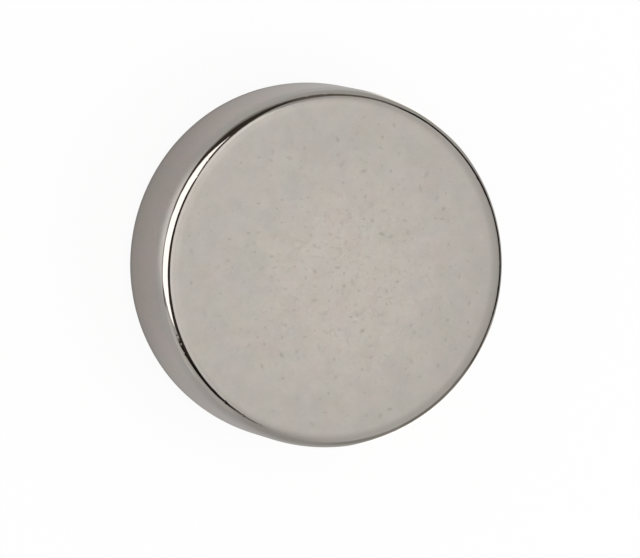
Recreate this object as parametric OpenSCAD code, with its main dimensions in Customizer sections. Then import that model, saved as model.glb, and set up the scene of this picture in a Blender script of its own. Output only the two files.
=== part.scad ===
// Disc magnet: one pressed and sintered disc under a bright nickel plate.
// It lies on one flat face, with its axis along +Z and the origin at the centre of that face.
// Lengths are in millimetres and angles in degrees.

/* [Disc] */
// Diameter across the straight wall
disc_d = 15; // [8:0.5:60]
// Thickness from face to face
disc_t = 5; // [3:0.25:30]

/* [Tumbled edges] */
// Radius of the tight bend that rounds each edge
bend_r = 0.3; // [0.1:0.05:0.7]
// Radius of the soft roll-off that leads from a flat face into the bend
face_roll_r = 1.8; // [0.8:0.1:4]
// Angle that the face's roll-off turns through
face_roll_angle = 12; // [0:1:25]
// Radius of the soft roll-off that leads from the bend into the straight wall
wall_roll_r = 6; // [0.8:0.1:8]
// Angle that the wall's roll-off turns through
wall_roll_angle = 10; // [0:1:14]

/* [Finish] */
// Colour of the nickel plate
plate_colour = "#BBB4AB"; // ["#BBB4AB":Bright nickel, "#D3CFC8":Pale nickel, "#9C9790":Dull nickel]

/* [Hidden] */

// Facets in one turn about the axis
$fn = 180;
// Turn between neighbouring points on a rounded edge
facet_turn = 3;

disc_r = disc_d / 2;

// Directions of the face's and the wall's outward normals in the half section
face_normal = 90;
wall_normal = 0;

// Directions of the bend's two ends, where the roll-offs meet it
bend_start = face_normal - face_roll_angle;
bend_end = wall_normal + wall_roll_angle;

// Centre lines: each roll-off's centre lies on the line through the bend's centre and their join
to_face_centre = (bend_r - face_roll_r) * direction(bend_start);
to_wall_centre = (bend_r - wall_roll_r) * direction(bend_end);

// Centres of the arcs of the upper edge, as [radius, height]
bend_centre = [
    disc_r - wall_roll_r - to_wall_centre.x,
    disc_t - face_roll_r - to_face_centre.y
];
face_roll_centre = bend_centre + to_face_centre;
wall_roll_centre = bend_centre + to_wall_centre;

// Unit vector that points at an angle above the radius
function direction(angle) = [cos(angle), sin(angle)];

// Points along an arc, both ends included
function arc_points(centre, r, from, to) =
    let (steps = max(1, ceil(abs(to - from) / facet_turn)))
    [for (i = [0 : steps]) centre + r * direction(from + (to - from) * i / steps)];

// The same points below the disc's middle, in reverse order
function mirrored(points) = [
    for (i = [len(points) - 1 : -1 : 0]) [points[i].x, disc_t - points[i].y]
];

// Upper edge from the flat face to the straight wall
upper_edge = concat(
    arc_points(face_roll_centre, face_roll_r, face_normal, bend_start),
    arc_points(bend_centre, bend_r, bend_start, bend_end),
    arc_points(wall_roll_centre, wall_roll_r, bend_end, wall_normal)
);

// Half section through the axis, the same above and below the middle
module half_section() {
    polygon(concat(
        [[0, disc_t]],
        upper_edge,
        mirrored(upper_edge),
        [[0, 0]]
    ));
}

module magnet() {
    color(plate_colour)
        rotate_extrude()
            half_section();
}

magnet();
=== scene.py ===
import math
import random

import bpy
from mathutils import Matrix, Vector, noise
from mathutils.geometry import delaunay_2d_cdt


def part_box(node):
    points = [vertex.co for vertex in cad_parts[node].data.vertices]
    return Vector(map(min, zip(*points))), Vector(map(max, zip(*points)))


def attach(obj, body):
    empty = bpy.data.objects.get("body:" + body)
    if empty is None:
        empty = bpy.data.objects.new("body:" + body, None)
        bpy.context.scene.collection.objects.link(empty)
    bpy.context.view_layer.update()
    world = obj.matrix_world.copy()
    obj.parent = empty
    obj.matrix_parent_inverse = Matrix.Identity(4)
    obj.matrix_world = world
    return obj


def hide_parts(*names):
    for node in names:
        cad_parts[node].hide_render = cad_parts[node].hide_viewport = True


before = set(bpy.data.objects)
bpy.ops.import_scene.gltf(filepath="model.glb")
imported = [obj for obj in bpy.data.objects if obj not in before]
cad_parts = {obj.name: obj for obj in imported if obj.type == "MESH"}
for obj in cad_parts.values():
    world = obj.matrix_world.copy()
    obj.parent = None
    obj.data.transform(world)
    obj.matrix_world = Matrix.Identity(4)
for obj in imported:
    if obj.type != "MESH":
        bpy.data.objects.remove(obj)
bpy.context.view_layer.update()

mm = 0.001  # in metres
scene = bpy.context.scene
scene.view_settings.view_transform = "Standard"

# the disc's size in millimetres, the unit of all its form further down
magnetLow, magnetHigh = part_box("magnet")
magnetRadius = min(magnetHigh.x, magnetHigh.y, -magnetLow.x, -magnetLow.y) / mm
magnetThickness = (magnetHigh.z - magnetLow.z) / mm


cameraSetup = {
    "lean": 19.6,  # degrees from the disc's axis to the line of sight
    "turn": 165.7,  # compass direction of the camera round the disc, from +X towards +Y
    "distance": 375 * mm,
    "viewWidth": 26.64 * mm,  # what the view spans at the disc
    "aimRight": 0.163 * mm,  # from the disc's centre to the middle of the view
    "aimUp": -0.605 * mm,
    "sensorWidth": 36.0,
    "clipStart": 10 * mm,
    "clipEnd": 10,
}


def compass(turn, lean):
    # unit vector at a compass turn about +Z, leaning away from +Z
    around, away = math.radians(turn), math.radians(lean)
    return Vector((math.sin(away) * math.cos(around), math.sin(away) * math.sin(around), math.cos(away)))


def makeCamera(setup):
    data = bpy.data.cameras.new("camera")
    data.sensor_width = setup["sensorWidth"]
    data.lens = setup["sensorWidth"] * setup["distance"] / setup["viewWidth"]
    data.clip_start = setup["clipStart"]
    data.clip_end = setup["clipEnd"]
    camera = bpy.data.objects.new("camera", data)
    scene.collection.objects.link(camera)
    back = compass(setup["turn"], setup["lean"])
    axisShown = (Vector((0, 0, 1)) - back * back.z).normalized()  # the disc's axis as the view shows it
    across = back.cross(axisShown)
    roll = math.radians(setup["turn"] - 180)
    right = axisShown * math.cos(roll) - across * math.sin(roll)
    up = axisShown * math.sin(roll) + across * math.cos(roll)
    aim = Vector((0, 0, magnetThickness * mm / 2)) + right * setup["aimRight"] + up * setup["aimUp"]
    place = aim + back * setup["distance"]
    camera.matrix_world = Matrix.Translation(place) @ Matrix((right, up, back)).transposed().to_4x4()
    scene.camera = camera


makeCamera(cameraSetup)
print("camera made")


def smoothStep(x):
    x = min(max(x, 0.0), 1.0)
    return x * x * (3 - 2 * x)


def rowAt(rows, level):
    # what the rows say at a level between two of them, where each row starts with its own level
    for (lowLevel, *low), (highLevel, *high) in zip(rows, rows[1:]):
        if level <= highLevel:
            share = (level - lowLevel) / (highLevel - lowLevel)
            return [first + (last - first) * share for first, last in zip(low, high)]


def meshObject(name, points, faces):
    mesh = bpy.data.meshes.new(name)
    mesh.from_pydata(points, [], faces)
    mesh.update()
    made = bpy.data.objects.new(name, mesh)
    scene.collection.objects.link(made)
    return made


def gridFaces(rows, columns, closed):
    # faces over a grid of points given row by row, with each row's ends joined where it is closed
    faces = []
    for row in range(rows - 1):
        for column in range(columns if closed else columns - 1):
            here, beside = row * columns + column, row * columns + (column + 1) % columns
            faces.append((here, beside, beside + columns, here + columns))
    return faces


def pointValues(piece, name, values):
    # one number for each point, which materials read by this name
    piece.data.attributes.new(name, "FLOAT", "POINT").data.foreach_set("value", values)


def newMaterial(name):
    material = bpy.data.materials.new(name)
    material.use_nodes = True
    material.node_tree.nodes.clear()
    return material, material.node_tree


def feed(tree, socket, value):
    # the value is another node's socket, a number, a colour or a place
    if isinstance(value, bpy.types.NodeSocket):
        tree.links.new(value, socket)
    else:
        socket.default_value = value


def addNode(tree, kind, **inputs):
    node = tree.nodes.new(kind)
    for name, value in inputs.items():
        feed(tree, node.inputs[name], value)
    return node


def mathNode(tree, operation, *values, clamp=False):
    node = tree.nodes.new("ShaderNodeMath")
    node.operation = operation
    node.use_clamp = clamp
    for socket, value in zip(node.inputs, values):
        feed(tree, socket, value)
    return node.outputs[0]


def vectorNode(tree, operation, first, second):
    node = tree.nodes.new("ShaderNodeVectorMath")
    node.operation = operation
    feed(tree, node.inputs[0], first)
    feed(tree, node.inputs[1], second)
    return node


def splitNode(tree, vector):
    return addNode(tree, "ShaderNodeSeparateXYZ", Vector=vector).outputs


def rampNode(tree, value, low, high, toLow=0.0, toHigh=1.0):
    # a soft ramp between two values, level beyond them
    limits = {"From Min": low, "From Max": high, "To Min": toLow, "To Max": toHigh}
    node = addNode(tree, "ShaderNodeMapRange", Value=value, **limits)
    node.interpolation_type = "SMOOTHSTEP"
    return node.outputs[0]


def noiseNode(tree, place, scale, detail, rough):
    return addNode(tree, "ShaderNodeTexNoise", Vector=place, Scale=scale, Detail=detail, Roughness=rough)


def mixColor(tree, share, first, second, blend="MIX"):
    node = tree.nodes.new("ShaderNodeMix")
    node.data_type = "RGBA"
    node.blend_type = blend
    for index, value in ((0, share), (6, first), (7, second)):
        feed(tree, node.inputs[index], value)
    return node.outputs[2]


def mixValue(tree, share, first, second):
    node = tree.nodes.new("ShaderNodeMix")
    node.data_type = "FLOAT"
    for index, value in ((0, share), (2, first), (3, second)):
        feed(tree, node.inputs[index], value)
    return node.outputs[0]


def mixShader(tree, share, first, second):
    node = addNode(tree, "ShaderNodeMixShader", Fac=share)
    tree.links.new(first.outputs[0], node.inputs[1])
    tree.links.new(second.outputs[0], node.inputs[2])
    return node


def pointValueNode(tree, name):
    node = tree.nodes.new("ShaderNodeAttribute")
    node.attribute_name = name
    return node.outputs["Fac"]


def seenShare(tree):
    # 1 for rays from the camera, off metal and through glass
    path = tree.nodes.new("ShaderNodeLightPath")
    shares = [path.outputs[name] for name in ("Is Camera Ray", "Is Glossy Ray", "Is Transmission Ray")]
    return mathNode(tree, "MAXIMUM", mathNode(tree, "MAXIMUM", *shares[:2]), shares[2])


floorSetup = {
    "size": 3.0,  # in metres
    "color": (0.95, 0.95, 0.945, 1),
    "whiteShare": 0.92,  # how far the paper is lifted to plain white where it is looked at
    "drop": 0.004 * mm,  # keeps the paper clear of the disc's underside
}


def makeFloor(setup):
    half = setup["size"] / 2
    corners = [(-half, -half, 0), (half, -half, 0), (half, half, 0), (-half, half, 0)]
    floor = meshObject("floor", corners, [(0, 1, 2, 3)])
    material, tree = newMaterial("floorPaper")
    paper = addNode(tree, "ShaderNodeBsdfDiffuse", Color=setup["color"])
    white = addNode(tree, "ShaderNodeEmission", Color=(1, 1, 1, 1))
    above = mixShader(tree, mathNode(tree, "MULTIPLY", seenShare(tree), setup["whiteShare"]), paper, white)
    # seen from below, the paper lets the disc's underside show
    clear = addNode(tree, "ShaderNodeBsdfTransparent")
    fromBelow = addNode(tree, "ShaderNodeNewGeometry").outputs["Backfacing"]
    addNode(tree, "ShaderNodeOutputMaterial", Surface=mixShader(tree, fromBelow, above, clear).outputs[0])
    floor.data.materials.append(material)
    floor.location.z = magnetLow.z - setup["drop"]


# a tent of paper and cloth round the disc, which shows in the metal and nowhere else
tentSetup = {
    # in millimetres
    "inner": 6.9,  # how near the disc's axis the paper on the floor comes
    "foot": 11.0,  # radius where the paper leaves the floor
    "radius": 17.0,  # radius from the shoulder up
    "shoulder": 12.0,
    "height": 30.0,
    "lowest": 0.01,  # keeps the paper clear of the floor
    "turns": 360,
    "floorRows": 30,
    "wallRows": 60,
    "glow": 0.54,  # where no panel hangs
    "clothColor": (1.0, 0.80, 0.66, 1),  # dark cloth is warmer than pale paper
    "paperColor": (1.0, 0.99, 0.97, 1),
    "clothGlow": (0.04, 0.35),  # the glow up to which it is all cloth, and from which it is all paper
}

# the tent's panels, each hung over those before it, as rows of level and the compass turns of both sides
# a level over 0 is a height, and one below 0 is how far the paper on the floor reaches in from the foot
tentPanels = [
    # name, glow, softness in degrees, softness in millimetres, rows
    # wallShade, lowWall and footShade are painted shade: darker paper on the floor ring near the foot,
    # standing for the disc's shadow on the floor as the wall mirrors it
    ("wallShade", 0.455, 40, 0.6, [(-4.3, 130, 212), (-1.7, 130, 208)]),
    ("lowWall", 0.40, 60, 0.9, [(-4.8, 110, 225), (-2.9, 110, 225)]),
    ("footShade", 0.25, 60, 0.5, [(-5, 60, 285), (-3.45, 60, 285)]),
    ("rightFloor", 0.465, 24, 1.0, [(-3.3, 220, 274), (0.5, 234, 274)]),
    ("farFoot", 0.57, 30, 0.6, [(-4.1, 286, 440), (0, 286, 440)]),
    ("farFootDim", 0.37, 12, 1.2, [(-4.1, 346, 364), (3.6, 346, 364)]),
    ("paleFoot", 1.14, 24, 0.35, [(-1.15, 146, 177), (-0.5, 142, 189)]),
    ("rightDim", 0.465, 14, 3, [(3, 238, 265), (8, 240, 298), (12, 243, 296), (15, 246, 286),
                                (18, 248, 278), (22, 249, 271), (30, 250, 266)]),
    ("rightMiddle", 0.62, 16, 2.5, [(2.5, 203, 241), (10, 205, 245), (13, 214, 250)]),
    ("rightPale", 0.72, 8, 1.4, [(-0.3, 195, 223), (3.8, 200, 226)]),
    ("farTop", 0.68, 30, 6, [(16, -68, 58), (30, -68, 58)]),
    ("farTopRight", 0.76, 30, 5, [(24, -8, 42), (30, -8, 42)]),
    ("leftShade", 0.16, 16, 2, [(5, 104, 130), (7, 95, 130), (9, 80, 130), (13, 68, 126), (18, 72, 122)]),
    ("leftSoft", 0.27, 10, 1.8, [(0.8, 120, 140), (2.5, 110, 138), (5, 102, 130)]),
    ("leftFlag", 0.05, 8, 1.2, [(1.2, 136, 158), (2.2, 128, 150), (3, 123, 147), (4.5, 117, 140),
                                (6, 112, 136), (8, 102, 131), (10, 96, 130), (13, 91, 129),
                                (15, 91, 128), (20, 98, 124), (25, 104, 120)]),
    ("rightFlag", 0.015, 5, 0.8, [(5, 206.5, 211), (6.3, 208, 214), (8, 209, 220), (10, 210, 228),
                                  (12, 209, 234), (14, 206, 240), (16, 203, 246.5), (18, 199, 252),
                                  (20, 190, 256), (24, 181, 260), (30, 172, 265)]),
    ("rightFlagEnd", 0.16, 8, 3, [(20, 252, 262), (24, 255, 268), (27, 258, 272)]),
    ("farDimLeft", 0.36, 14, 3, [(5, -81, -60), (9, -82, -56), (13, -74, -50), (15.5, -64, -46)]),
    ("farWhiteLeft", 2.0, 8, 1.6, [(-4, 288, 340), (1, 289, 339), (2.2, 290.5, 336), (3.4, 293, 321),
                                   (4.5, 297, 308)]),
    ("farWhiteRight", 1.5, 14, 1.6, [(-4, 396, 424), (0.3, 398, 422), (2.2, 401, 419)]),
    ("farFlagLeft", 0.26, 8, 2, [(6, -60, -14), (9, -58, -14), (12.5, -54, -24), (15, -50, -34)]),
    ("farFlagDark", 0.08, 6, 1.8, [(5.4, -31, -16), (7.5, -31, -16), (10, -31, -18)]),
    ("farFlag", 0.025, 6, 1.0, [(3.9, -14, 12), (5.2, -16, 26), (7, -19, 32), (8.9, -20, 36)]),
    ("farFlagRight", 0.01, 5, 1.3, [(7.5, 11, 34), (9.5, 15, 44), (11, 19, 50), (12.5, 25, 53),
                                    (15, 31, 55), (18, 40, 57), (20, 46, 60)]),
    ("farFlagEnd", 0.17, 8, 2.5, [(11, 52, 70), (15, 54, 82), (19, 56, 88), (22, 60, 92)]),
    ("footFaint", 0.18, 6, 0.3, [(0.0, 158, 187), (0.55, 158, 187)]),
    ("footLine", 0.06, 6, 0.4, [(0.05, 130, 163), (1.5, 134, 160)]),
    ("footLineRight", 0.03, 3, 0.4, [(0.0, 188, 196), (1.3, 188, 195)]),
    ("window", 2.1, 2.6, 0.4, [(0.95, 170, 186), (1.35, 163, 188), (1.8, 154, 190), (2.6, 145, 193),
                               (3.5, 141.5, 195.5), (5, 137, 199), (7, 133.2, 203), (9, 130.6, 203.5),
                               (11, 128.2, 200), (13, 125, 196), (15, 122.4, 192.5), (18, 120.5, 188),
                               (24, 118.5, 188)]),
    ("topBandLeft", 0.1, 8, 4, [(17, 122, 133), (20, 118, 136), (32, 107, 137)]),
    ("topBand", 0.05, 8, 2, [(11, 198, 212), (13, 190, 220), (14.5, 172, 220), (16, 161, 220),
                             (17.8, 153, 225), (20, 147, 225), (23, 140, 225), (26.5, 132, 230),
                             (30, 125, 235), (32, 120, 240)]),
]


def makeTentPaper(setup):
    material, tree = newMaterial("tentPaper")
    glow = pointValueNode(tree, "glow")
    pale = rampNode(tree, glow, *setup["clothGlow"])
    color = mixColor(tree, pale, setup["clothColor"], setup["paperColor"])
    shine = addNode(tree, "ShaderNodeEmission", Color=color, Strength=glow)
    addNode(tree, "ShaderNodeOutputMaterial", Surface=shine.outputs[0])
    return material


def hangCard(name, points, faces, glows, paper):
    # points in millimetres, and each point's glow
    card = meshObject(name, [(x * mm, y * mm, z * mm) for x, y, z in points], faces)
    pointValues(card, "glow", glows)
    card.data.materials.append(paper)
    card.visible_camera = False
    card.visible_diffuse = False
    card.visible_transmission = False
    card.visible_volume_scatter = False
    card.visible_shadow = False


def panelsAt(level):
    # the panels that reach this level: glow, how much they cover there, both sides and softness
    found = []
    for name, glow, soft, softRise, rows in tentPanels:
        lowest, highest = rows[0][0], rows[-1][0]
        rise = min(level - lowest, highest - level) / softRise + 0.5
        if rise > 0:
            first, last = rowAt(rows, min(max(level, lowest), highest))
            found.append((glow, smoothStep(rise), first, last, soft))
    return found


def makeTent(setup, paper):
    inner, foot, turns = setup["inner"], setup["foot"], setup["turns"]
    floorRows, wallRows = setup["floorRows"], setup["wallRows"]
    levels = [(inner - foot) * (1 - row / floorRows) for row in range(floorRows)]
    levels += [setup["height"] * row / wallRows for row in range(wallRows + 1)]
    points, glows = [], []
    for level in levels:
        slope = min(max(level, 0) / setup["shoulder"], 1)
        radius = foot + min(level, 0) + (setup["radius"] - foot) * slope
        panels = panelsAt(level)
        for turn in range(turns):
            degrees = turn * 360 / turns
            angle = math.radians(degrees)
            points.append((radius * math.cos(angle), radius * math.sin(angle), max(level, setup["lowest"])))
            glow = setup["glow"]
            for panelGlow, cover, first, last, soft in panels:
                away = abs((degrees - (first + last) / 2 + 180) % 360 - 180)
                glow += (panelGlow - glow) * (smoothStep(((last - first) / 2 - away) / soft + 0.5) * cover)
            glows.append(glow)
    hangCard("tent", points, gridFaces(len(levels), turns, True), glows, paper)


# the card overhead: brightest at one place, and dark past an edge on one side
ceilingSetup = {
    # in millimetres
    "height": 260,
    "size": 700,
    "cells": 200,
    "glow": 1.11,
    "brightPlace": (0, 24),
    "fall": 17.7e-6,  # glow lost for each square millimetre away from the bright place
    "lowest": 0.5,
    "spotPlace": (35, 65),  # a soft spot on top of that
    "spotSpread": 24,
    "spotGlow": 0.156,
    "darkGlow": 0.03,
    "edgeMiddle": (60, -20),
    # turn round that middle in degrees, how far out the dark begins, and how softly
    "edge": [(0, 400, 60), (40, 196, 60), (60, 120, 60), (74, 112, 80), (84, 112, 80), (95, 115, 70),
             (110, 136, 30), (126, 134, 14), (143, 108, 14), (163, 124, 14), (180, 130, 14),
             (200, 134, 14), (217, 138, 14), (236, 113, 14), (256, 112, 14), (275, 150, 14),
             (300, 220, 14), (360, 400, 60)],
}


def ceilingGlow(setup, x, y):
    away = math.dist((x, y), setup["brightPlace"])
    glow = max(setup["glow"] - setup["fall"] * away ** 2, setup["lowest"])
    away = math.dist((x, y), setup["spotPlace"]) / setup["spotSpread"]
    glow += setup["spotGlow"] * math.exp(-away ** 2 / 2)
    dx, dy = x - setup["edgeMiddle"][0], y - setup["edgeMiddle"][1]
    reach, soft = rowAt(setup["edge"], math.degrees(math.atan2(dy, dx)) % 360)
    dark = smoothStep((math.hypot(dx, dy) - reach) / soft + 0.5)
    return glow + (setup["darkGlow"] - glow) * dark


def makeCeiling(setup, paper):
    places = [setup["size"] * (cell / setup["cells"] - 0.5) for cell in range(setup["cells"] + 1)]
    points = [(x, y, setup["height"]) for y in places for x in places]
    glows = [ceilingGlow(setup, x, y) for x, y, z in points]
    hangCard("ceiling", points, gridFaces(len(places), len(places), False), glows, paper)


lampSetup = {
    "turn": -20,  # compass direction in degrees
    "lean": 42,  # degrees away from straight overhead
    "distance": 0.9,  # in metres, as is its size
    "size": 0.8,
    "power": 2.2,  # in watts
}


def makeLamp(setup):
    data = bpy.data.lights.new("keyLamp", "AREA")
    data.shape = "DISK"
    data.size = setup["size"]
    data.energy = setup["power"]
    lamp = bpy.data.objects.new("keyLamp", data)
    scene.collection.objects.link(lamp)
    toLamp = compass(setup["turn"], setup["lean"])
    lamp.location = toLamp * setup["distance"]
    lamp.rotation_euler = toLamp.to_track_quat("Z", "Y").to_euler()
    lamp.visible_camera = False
    lamp.visible_glossy = False


worldSetup = {
    "color": (0.99, 0.99, 0.987, 1),  # what the camera and the metal see past the floor
    "ambient": 0.84,  # what the world gives everything else
}


def makeWorld(setup):
    world = bpy.data.worlds.new("studio")
    scene.world = world
    world.use_nodes = True
    tree = world.node_tree
    tree.nodes.clear()
    ambient = addNode(tree, "ShaderNodeBackground", Color=(1, 1, 1, 1), Strength=setup["ambient"])
    backdrop = addNode(tree, "ShaderNodeBackground", Color=setup["color"])
    mixed = mixShader(tree, seenShare(tree), ambient, backdrop)
    addNode(tree, "ShaderNodeOutputWorld", Surface=mixed.outputs[0])


makeFloor(floorSetup)
tentPaper = makeTentPaper(tentSetup)
makeTent(tentSetup, tentPaper)
makeCeiling(ceilingSetup, tentPaper)
makeLamp(lampSetup)
makeWorld(worldSetup)
print("studio made")


magnetForm = {
    # in millimetres and degrees
    # arcs from the flat face to the wall: radius, and the slope where the arc ends
    "faceRoll": (1.8, 12),
    "bend": (0.30, 68),
    "shoulder": (0.62, 82),
    "wallRoll": (6.0, 90),
    "arcSteps": (6, 17, 6, 4),
    "wallSteps": 1,
    "turns": 1024,
    "flatMargin": 0.06,  # width of the plain ring that ends the flat face
    "seed": 7,

    # how far tumbling left the edges uneven, in broad waves and fine ripples
    "waveDepth": 0.0025,
    "waveLength": 1.1,
    "waveStretch": 1.5,  # over 1 they change faster down the edge than round it
    "waveShares": (0.7, 0.3),  # of the waves, and of the same ones finer
    "waveFiner": 3.1,
    "rippleDepth": 0.0026,
    "rippleLength": 0.26,
    "rippleStretch": 0.5,  # under 1 they are drawn out down the edge
    "unevenSlope": 25,  # slope from which all of it shows
    "unevenEnd": (0.5, 0.8),  # how far past the start of the bend it begins to fade, and over what length
    "phases": (0, 40),  # sets the two edges' waves apart

    # small knocks on each edge
    "nicks": 46,
    "nickSlope": (20, 78),
    "nickRadius": (0.05, 0.11),
    "nickDepth": (0.002, 0.007),
    "nickFall": 2.2,  # how steeply a knock runs out
    "nickEnd": 4,  # where it ends, as the square of how many of its radii
    # knocks of the upper edge with a place of their own: compass turn, slope, radius, depth
    "knocks": [
        (197.5, 58, 0.060, 0.006), (199.5, 50, 0.045, 0.005), (201.5, 44, 0.050, 0.009),
        (204, 38, 0.050, 0.008), (202.8, 53, 0.045, 0.008), (203.4, 46, 0.035, 0.006),
        (146, 76, 0.055, 0.006), (137, 70, 0.045, 0.005), (112, 62, 0.07, 0.005), (228, 40, 0.06, 0.004),
        (176, 74, 0.04, 0.004), (160, 30, 0.04, 0.003), (292, 34, 0.05, 0.006), (306, 30, 0.04, 0.003),
        (141, 27, 0.040, 0.006), (147.2, 24, 0.040, 0.005), (139.2, 40, 0.045, 0.006),
        (144.5, 33, 0.035, 0.004), (124, 77, 0.050, 0.005), (121.3, 74, 0.045, 0.005),
        (229.2, 18, 0.045, 0.006), (236.8, 16, 0.040, 0.005),
    ],

    # pores under the plating of each face
    "pits": 430,
    "pitCentre": (1.1, 0.0),
    "pitSpread": 2.5,
    "pitGathered": 0.62,  # the share that gathers round that centre
    "pitRadius": (0.052, 0.118),
    "pitUneven": 1.4,  # over 1 makes more small pores than large ones
    "pitStretch": (1, 2.3),
    "pitDepth": (0.0005, 0.0016),
    "pitDark": (0.06, 0.31),  # the least, and what is added at most
    "pitGap": 1.15,  # least way between two pores' middles, as a share of what both reach
    "pitMargin": 0.05,  # clear room along the face's edge
    # rings of a pore: share of its radius, of its depth and of its darkness, and points
    "pitRings": ((1, 0, 0, 9), (0.7, 0.35, 0.3, 9), (0.35, 0.85, 0.8, 6), (0, 1, 1, 1)),

    # points that fill the face between the pores
    "fillSpacing": 0.55,
    "fillRow": 0.87,  # from row to row, as a share of the spacing
    "fillStray": 0.2,  # how far each point strays, as a share of the spacing
    "fillGap": (1.4, 0.03),  # clear room round a pore, as a share of its reach and a width on top
    "fillMargin": 0.2,  # clear room along the face's edge
}

# where the disc lies on the UV map: the two faces above, and the bends and the wall in two strips below
uvLayout = {
    "faceWide": 0.48,
    "topMiddle": (0.25, 0.75),
    "bottomMiddle": (0.75, 0.75),
    "stripLeft": 0.015,
    "stripWide": 0.97,
    "stripTop": 0.24,
    "stripStep": 0.25,
    "stripHigh": 0.22,
}
uvScale = uvLayout["faceWide"] / 2 / magnetRadius


def edgeProfile(form):
    # rings from the flat top face to the middle of the wall: radius, height, slope and length on the way
    arcs, start = [], 0.0
    for name, steps in zip(("faceRoll", "bend", "shoulder", "wallRoll"), form["arcSteps"]):
        radius, end = form[name][0], math.radians(form[name][1])
        arcs.append((radius, start, end, steps))
        start = end
    width = sum(radius * (math.sin(end) - math.sin(start)) for radius, start, end, steps in arcs)
    r, z, length = magnetRadius - width, magnetThickness, 0.0
    rings = [(r - form["flatMargin"], z, 0.0, -form["flatMargin"])]
    for radius, start, end, steps in arcs:
        for step in range(steps):
            slope = start + (end - start) * step / steps
            outer = r + radius * (math.sin(slope) - math.sin(start))
            lower = z - radius * (math.cos(start) - math.cos(slope))
            rings.append((outer, lower, slope, length + radius * (slope - start)))
        r += radius * (math.sin(end) - math.sin(start))
        z -= radius * (math.cos(start) - math.cos(end))
        length += radius * (end - start)
    for step in range(form["wallSteps"] + 1):
        down = (z - magnetThickness / 2) * step / form["wallSteps"]
        rings.append((magnetRadius, z - down, math.radians(90), length + down))
    return rings


def makeNicks(form, dice, knocks=()):
    # all knocks on one edge: compass turn, slope, radius, depth
    nicks = list(knocks)
    for i in range(form["nicks"]):
        radius = dice.uniform(*form["nickRadius"])
        depth = dice.uniform(*form["nickDepth"]) * radius / form["nickRadius"][1]
        turn = dice.uniform(0, 360)
        nicks.append((turn, dice.uniform(*form["nickSlope"]), radius, depth))
    return nicks


def unevenness(form, place, length, phase, weight):
    # how far inside its true form an edge lies
    wave = Vector((*place, phase + length * form["waveStretch"])) / form["waveLength"]
    ripple = Vector((*place, phase + length * form["rippleStretch"])) / form["rippleLength"]
    broad, fine = form["waveShares"]
    waves = 1 + broad * noise.noise(wave) + fine * noise.noise(wave * form["waveFiner"])
    ripples = 0.5 + 0.5 * noise.noise(ripple)
    return form["waveDepth"] * weight * waves + form["rippleDepth"] * weight * ripples


def lathe(form, rings, nicks, phase):
    # one edge of the disc, from its flat face to the middle of its wall, with what tumbling left
    count, points = form["turns"], []
    bendSlope = math.radians(form["faceRoll"][1])
    bendLength = form["faceRoll"][0] * bendSlope  # length at which the bend begins
    spots = [[] for i in range(count)]  # the knocks near each point of a ring
    for turn, slope, radius, depth in nicks:
        spot = bendLength + form["bend"][0] * (math.radians(slope) - bendSlope)
        reach = math.ceil(radius / magnetRadius / math.tau * count) + 1
        centre = round(turn / 360 * count)
        for i in range(centre - reach, centre + reach + 1):
            spots[i % count].append((turn, spot, radius, depth))
    fadeStart, fadeLength = form["unevenEnd"]
    for r, z, slope, length in rings:
        weight = smoothStep(math.degrees(slope) / form["unevenSlope"])
        weight *= 1 - smoothStep((length - bendLength - fadeStart) / fadeLength)
        for i in range(count):
            angle = math.tau * i / count
            place = (r * math.cos(angle), r * math.sin(angle))
            inward = unevenness(form, place, length, phase, weight) if weight else 0.0
            for turn, spot, radius, depth in spots[i]:
                along = magnetRadius * ((angle - math.radians(turn) + math.pi) % math.tau - math.pi)
                away = ((length - spot) ** 2 + along ** 2) / radius ** 2
                if away < form["nickEnd"]:
                    inward += depth * math.exp(-form["nickFall"] * away)
            out = r - inward * math.sin(slope)
            points.append((out * math.cos(angle), out * math.sin(angle), z - inward * math.cos(slope)))
    return points


def placePits(form, dice, flatRadius):
    # the pores of one face: place, radius, stretch, depth, lean, darkness
    pits = []
    low, high = form["pitRadius"]
    leastDark, moreDark = form["pitDark"]
    while len(pits) < form["pits"]:
        if dice.random() < form["pitGathered"]:
            x = dice.gauss(form["pitCentre"][0], form["pitSpread"])
            y = dice.gauss(form["pitCentre"][1], form["pitSpread"])
        else:
            x = dice.uniform(-flatRadius, flatRadius)
            y = dice.uniform(-flatRadius, flatRadius)
        radius = low + (high - low) * dice.random() ** form["pitUneven"]
        stretch = dice.uniform(*form["pitStretch"])
        depth = dice.uniform(*form["pitDepth"]) * radius / high
        lean = dice.uniform(0, math.pi)
        dark = leastDark + moreDark * dice.random() ** 2
        reach = radius * stretch
        clear = all(math.hypot(x - p[0], y - p[1]) > form["pitGap"] * (reach + p[2] * p[3]) for p in pits)
        if clear and math.hypot(x, y) < flatRadius - reach - form["pitMargin"]:
            pits.append((x, y, radius, stretch, depth, lean, dark))
    return pits


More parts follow.
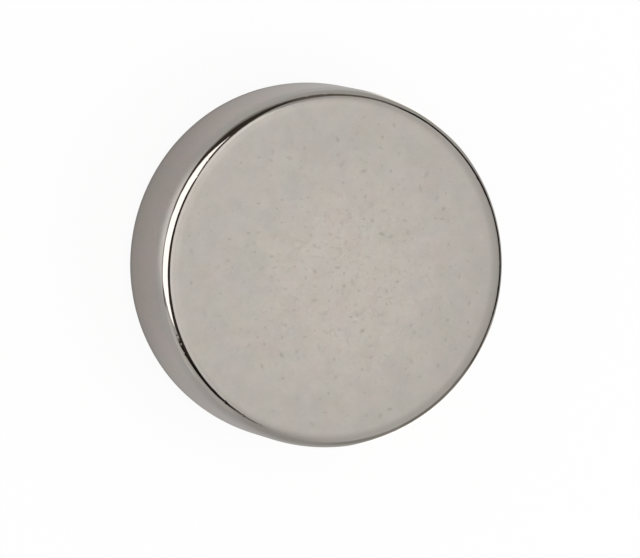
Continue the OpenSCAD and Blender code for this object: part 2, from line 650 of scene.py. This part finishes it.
def faceSheet(form, ring, pits, dice):
    # a flat face as triangles, with every pore sunk in it
    flatRadius, count = math.hypot(*ring[0]), len(ring)
    points, depths, darks = [Vector(p) for p in ring], [0.0] * count, [0.0] * count
    for x, y, radius, stretch, depth, lean, dark in pits:
        for share, sunk, shade, steps in form["pitRings"]:
            for step in range(steps):
                angle = math.tau * step / steps
                along = radius * stretch * share * math.cos(angle)
                across = radius * share * math.sin(angle)
                points.append(Vector((x + along * math.cos(lean) - across * math.sin(lean),
                                      y + along * math.sin(lean) + across * math.cos(lean))))
                depths.append(depth * sunk)
                darks.append(shade * dark)
    spacing, stray = form["fillSpacing"], form["fillStray"]
    gapShare, gapWidth = form["fillGap"]
    cells = math.ceil(flatRadius / spacing)
    for row in range(-cells, cells + 1):
        for column in range(-cells, cells + 1):
            x = (column + 0.5 * (row % 2) + dice.uniform(-stray, stray)) * spacing
            y = (row * form["fillRow"] + dice.uniform(-stray, stray)) * spacing
            near = any(math.hypot(x - p[0], y - p[1]) < gapShare * p[2] * p[3] + gapWidth for p in pits)
            if math.hypot(x, y) < flatRadius - form["fillMargin"] and not near:
                points.append(Vector((x, y)))
                depths.append(0.0)
                darks.append(0.0)
    edges = [(i, (i + 1) % count) for i in range(count)]
    insideOnly, mergeDistance = 1, 1e-7
    found = delaunay_2d_cdt(points, edges, [], insideOnly, mergeDistance)
    triangles, sources = found[2], found[3]
    return points, depths, darks, [tuple(sources[i][0] for i in triangle) for triangle in triangles]


def faceUv(x, y, middle):
    return (middle[0] + x * uvScale, middle[1] + y * uvScale)


def edgeFaces(form, rings, points):
    # all faces between the two flat ones, from ring to ring, with their places on the UV map
    count, layout = form["turns"], uvLayout
    half, bendRow, lastRow = count // 2, form["arcSteps"][0] + 1, 2 * len(rings) - 2
    wallLength = 2 * rings[-1][3]
    lengths = [ring[3] for ring in rings] + [wallLength - ring[3] for ring in reversed(rings[:-1])]
    stripLength = 2 * (rings[-1][3] - rings[bendRow][3])
    faces, uvs = [], []
    for row in range(lastRow):
        for i in range(count):
            j = (i + 1) % count
            upper, lower = row * count, (row + 1) * count
            face = (upper + i, lower + i, lower + j, upper + j)
            faces.append(face)
            if row < bendRow:
                uvs += [faceUv(points[v][0], points[v][1], layout["topMiddle"]) for v in face]
            elif row >= lastRow - bendRow:
                uvs += [faceUv(-points[v][0], points[v][1], layout["bottomMiddle"]) for v in face]
            else:
                strip, column = divmod(i, half)
                top = layout["stripTop"] + layout["stripStep"] * strip
                for side, level in ((0, row), (0, row + 1), (1, row + 1), (1, row)):
                    down = (lengths[level] - lengths[bendRow]) / stripLength
                    across = layout["stripLeft"] + layout["stripWide"] * (column + side) / half
                    uvs.append((across, top - layout["stripHigh"] * down))
    return faces, uvs


def makeMagnet(form):
    dice = random.Random(form["seed"])
    rings, count = edgeProfile(form), form["turns"]
    upperPhase, lowerPhase = form["phases"]
    points = lathe(form, rings, makeNicks(form, dice, form["knocks"]), upperPhase)
    lower = lathe(form, rings, makeNicks(form, dice), lowerPhase)
    # on down from the ring that both edges share, in the middle of the wall
    for row in reversed(range(len(rings) - 1)):
        points += [(x, y, magnetThickness - z) for x, y, z in lower[row * count:(row + 1) * count]]
    faces, uvs = edgeFaces(form, rings, points)
    pit = [0.0] * len(points)
    lastRing = len(points) - count
    for start, height, middle, flip in ((0, magnetThickness, uvLayout["topMiddle"], 1),
                                        (lastRing, 0, uvLayout["bottomMiddle"], -1)):
        ring = [points[start + i][:2] for i in range(count)]
        pits = placePits(form, dice, math.hypot(*ring[0]))
        flat, depths, darks, triangles = faceSheet(form, ring, pits, dice)
        shift = len(points) - count
        for place, depth in zip(flat[count:], depths[count:]):
            points.append((place.x, place.y, height - flip * depth))
        pit += darks[count:]
        for triangle in triangles:
            corners = [start + v if v < count else shift + v for v in triangle[::flip]]
            faces.append(tuple(corners))
            uvs += [faceUv(points[v][0] * flip, points[v][1], middle) for v in corners]
    magnet = meshObject("discMagnet", [(x * mm, y * mm, z * mm) for x, y, z in points], faces)
    magnet.data.shade_smooth()
    pointValues(magnet, "pit", pit)
    layer = magnet.data.uv_layers.new(name="OFBake")
    layer.data.foreach_set("uv", [value for uv in uvs for value in uv])
    return magnet


magnet = makeMagnet(magnetForm)
print("magnet made:", len(magnet.data.polygons), "faces")


plateFinish = {
    "paintedGlowColor": (0.597, 0.552, 0.509, 1),  # painted glow: the face's middle painted lighter and warmer, standing in for light on it
    "rimColor": (0.535, 0.505, 0.471, 1),  # the face near its edge, outside the painted glow
    "wallColor": (0.60, 0.52, 0.48, 1),
    "dullColor": (0.42, 0.40, 0.38, 1),
    "brightColor": (0.74, 0.70, 0.65, 1),
    "warmColor": (0.62, 0.54, 0.49, 1),
    "pitColor": (0.34, 0.315, 0.29, 1),
    "faceRoughness": (0.24, 0.28),  # it wanders between the two with the clouds
    "wallRoughness": 0.20,
    "bendRoughness": 0.07,
    "pitRoughness": 0.5,

    # where on the disc each finish lies
    "bendInside": (0.45 * mm, 0.1 * mm),  # how far in from the wall the bend's gloss begins, and how softly
    "wallInside": (0.62 * mm, 0.25 * mm),  # how far from each face the wall's finish ends, and how softly
    "toneFade": (1.0 * mm, 0.1 * mm),  # its tone fades out from so far below its upper end to so far above
    # the middle of the painted glow, and of the marks
    "middlePlace": (0.6 * mm, -0.6 * mm, 0),
    "glowReach": (1.3 * mm, 6.7 * mm),  # where the painted glow begins to fade and where it is gone
    "markReach": (1.8 * mm, 5.2 * mm, 1.0, 0.25),  # the same for marks, with the shares of them at both
    "reachWander": 2.5 * mm,  # how far the clouds shift both reaches
    "wallMarks": 0.6,  # share of the marks left on the wall

    # every noise is given as scale, detail and roughness
    # soft clouds and marks: a noise's two values, and the share of the colour at both
    "cloudNoise": (1500, 2, 0.5),
    "cloudDull": (0.2, 0.8, 0.0, 0.08),
    "cloudRough": (0.3, 0.7),
    "warmNoise": (900, 1, 0.5),
    "warmShare": (0.3, 0.75, 0.0, 0.08),
    "markNoise": (4600, 2, 0.5),
    "markDull": (0.54, 0.74, 0.0, 0.15),
    "markBright": (0.28, 0.44, 0.12, 0.0),

    # short curled scratches: a noise's value along the line, half the line's width, and its strength
    "scratchNoise": (2700, 1, 0.5),
    "scratchDull": (0.5, 0.075, 0.36),
    "scratchBright": (0.60, 0.07, 0.2),
    "clumpNoise": (3100, 2, 0.6),  # the scratches are kept where this one is high
    "clumpKept": (0.53, 0.61),

    # a tint that wanders to pink and green and to blue and straw, drawn out down the wall
    "tintNoise": (1050, 3, 0.65),
    "tintDrawn": (1, 1, 0.3),
    "tintShare": 0.12,
    "wallTintShare": 0.21,
    "greenShare": 0.3,  # what green gives up for pink
    "grainNoise": (9000, 1, 0.5),
    "grainHeight": 0.00006 * mm,
}


def plateAreas(tree, place, finish):
    # where the wall is, where the wall's own tone is, and where the tight bends at both ends of it are
    x, y, z = splitNode(tree, place)
    squares = [mathNode(tree, "MULTIPLY", value, value) for value in (x, y)]
    radius = mathNode(tree, "SQRT", mathNode(tree, "ADD", *squares))
    inside, width = finish["bendInside"]
    bendStart = magnetRadius * mm - inside
    outward = rampNode(tree, radius, bendStart, bendStart + width)
    inside, width = finish["wallInside"]
    middle = magnetThickness * mm / 2
    wallEnd = middle - inside
    fromMiddle = mathNode(tree, "ABSOLUTE", mathNode(tree, "SUBTRACT", z, middle))
    wall = rampNode(tree, fromMiddle, wallEnd, wallEnd + width, 1.0, 0.0)
    bend = mathNode(tree, "SUBTRACT", outward, wall, clamp=True)
    below, above = finish["toneFade"]
    fade = rampNode(tree, z, middle + wallEnd - below, middle + wallEnd + above, 1.0, 0.0)
    return wall, mathNode(tree, "MINIMUM", wall, fade), bend


def curledLine(tree, noiseValue, value, halfWidth, strength):
    # a soft line where a noise passes one value
    away = mathNode(tree, "ABSOLUTE", mathNode(tree, "SUBTRACT", noiseValue, value))
    return rampNode(tree, away, 0.0, halfWidth, strength, 0.0)


def plateColor(tree, place, clouds, wall, wallTone, finish):
    flatPlace = vectorNode(tree, "MULTIPLY", place, (1, 1, 0)).outputs[0]
    away = vectorNode(tree, "DISTANCE", flatPlace, finish["middlePlace"]).outputs["Value"]
    wander = mathNode(tree, "MULTIPLY", mathNode(tree, "SUBTRACT", clouds, 0.5), finish["reachWander"])
    reach = mathNode(tree, "ADD", away, wander)
    rim = rampNode(tree, reach, *finish["glowReach"])
    marked = mixValue(tree, wall, rampNode(tree, reach, *finish["markReach"]), finish["wallMarks"])
    # painted glow: the face's middle is painted lighter and warmer than its edge
    color = mixColor(tree, rim, finish["paintedGlowColor"], finish["rimColor"])
    color = mixColor(tree, wallTone, color, finish["wallColor"])
    color = mixColor(tree, rampNode(tree, clouds, *finish["cloudDull"]), color, finish["dullColor"])
    warm = noiseNode(tree, place, *finish["warmNoise"]).outputs["Fac"]
    color = mixColor(tree, rampNode(tree, warm, *finish["warmShare"]), color, finish["warmColor"])
    marks = noiseNode(tree, place, *finish["markNoise"]).outputs["Fac"]
    curls = noiseNode(tree, place, *finish["scratchNoise"]).outputs["Fac"]
    clumps = noiseNode(tree, place, *finish["clumpNoise"]).outputs["Fac"]
    kept = rampNode(tree, clumps, *finish["clumpKept"])
    dullLine = curledLine(tree, curls, *finish["scratchDull"])
    brightLine = curledLine(tree, curls, *finish["scratchBright"])
    layers = [
        (rampNode(tree, marks, *finish["markDull"]), "dullColor"),
        (rampNode(tree, marks, *finish["markBright"]), "brightColor"),
        (mathNode(tree, "MULTIPLY", dullLine, kept), "dullColor"),
        (mathNode(tree, "MULTIPLY", brightLine, kept), "brightColor"),
    ]
    for share, name in layers:
        color = mixColor(tree, mathNode(tree, "MULTIPLY", share, marked), color, finish[name])
    return color


def plateTint(tree, place, wall, finish):
    # what the colour is multiplied by, which leaves its tone alone
    drawn = vectorNode(tree, "MULTIPLY", place, finish["tintDrawn"]).outputs[0]
    channels = splitNode(tree, noiseNode(tree, drawn, *finish["tintNoise"]).outputs["Color"])
    share = mixValue(tree, wall, finish["tintShare"], finish["wallTintShare"])
    toPink = mathNode(tree, "MULTIPLY", mathNode(tree, "SUBTRACT", channels[0], 0.5), share)
    toBlue = mathNode(tree, "MULTIPLY", mathNode(tree, "SUBTRACT", channels[2], 0.5), share)
    red = mathNode(tree, "ADD", 1.0, toPink)
    green = mathNode(tree, "SUBTRACT", 1.0, mathNode(tree, "MULTIPLY", toPink, finish["greenShare"]))
    blue = mathNode(tree, "ADD", 1.0, toBlue)
    return addNode(tree, "ShaderNodeCombineXYZ", X=red, Y=green, Z=blue).outputs[0]


def makeNickel(finish):
    material, tree = newMaterial("nickelPlate")
    place = addNode(tree, "ShaderNodeTexCoord").outputs["Object"]
    pit = pointValueNode(tree, "pit")
    clouds = noiseNode(tree, place, *finish["cloudNoise"]).outputs["Fac"]
    wall, wallTone, bend = plateAreas(tree, place, finish)
    color = plateColor(tree, place, clouds, wall, wallTone, finish)
    color = mixColor(tree, pit, color, finish["pitColor"])
    color = mixColor(tree, 1.0, color, plateTint(tree, place, wall, finish), "MULTIPLY")
    rough = rampNode(tree, clouds, *finish["cloudRough"], *finish["faceRoughness"])
    rough = mixValue(tree, wall, rough, finish["wallRoughness"])
    rough = mixValue(tree, bend, rough, finish["bendRoughness"])
    rough = mixValue(tree, pit, rough, finish["pitRoughness"])
    # a fine grain everywhere but on the bends
    grain = noiseNode(tree, place, *finish["grainNoise"]).outputs["Fac"]
    height = mathNode(tree, "MULTIPLY", grain, mathNode(tree, "SUBTRACT", 1.0, bend))
    bump = addNode(tree, "ShaderNodeBump", Strength=1.0, Distance=finish["grainHeight"], Height=height)
    shader = addNode(tree, "ShaderNodeBsdfPrincipled", Metallic=1.0, Roughness=rough)
    feed(tree, shader.inputs["Base Color"], color)
    feed(tree, shader.inputs["Normal"], bump.outputs["Normal"])
    addNode(tree, "ShaderNodeOutputMaterial", Surface=shader.outputs[0])
    return material


magnet.data.materials.append(makeNickel(plateFinish))
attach(magnet, "root")
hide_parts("magnet")
print("plate made")
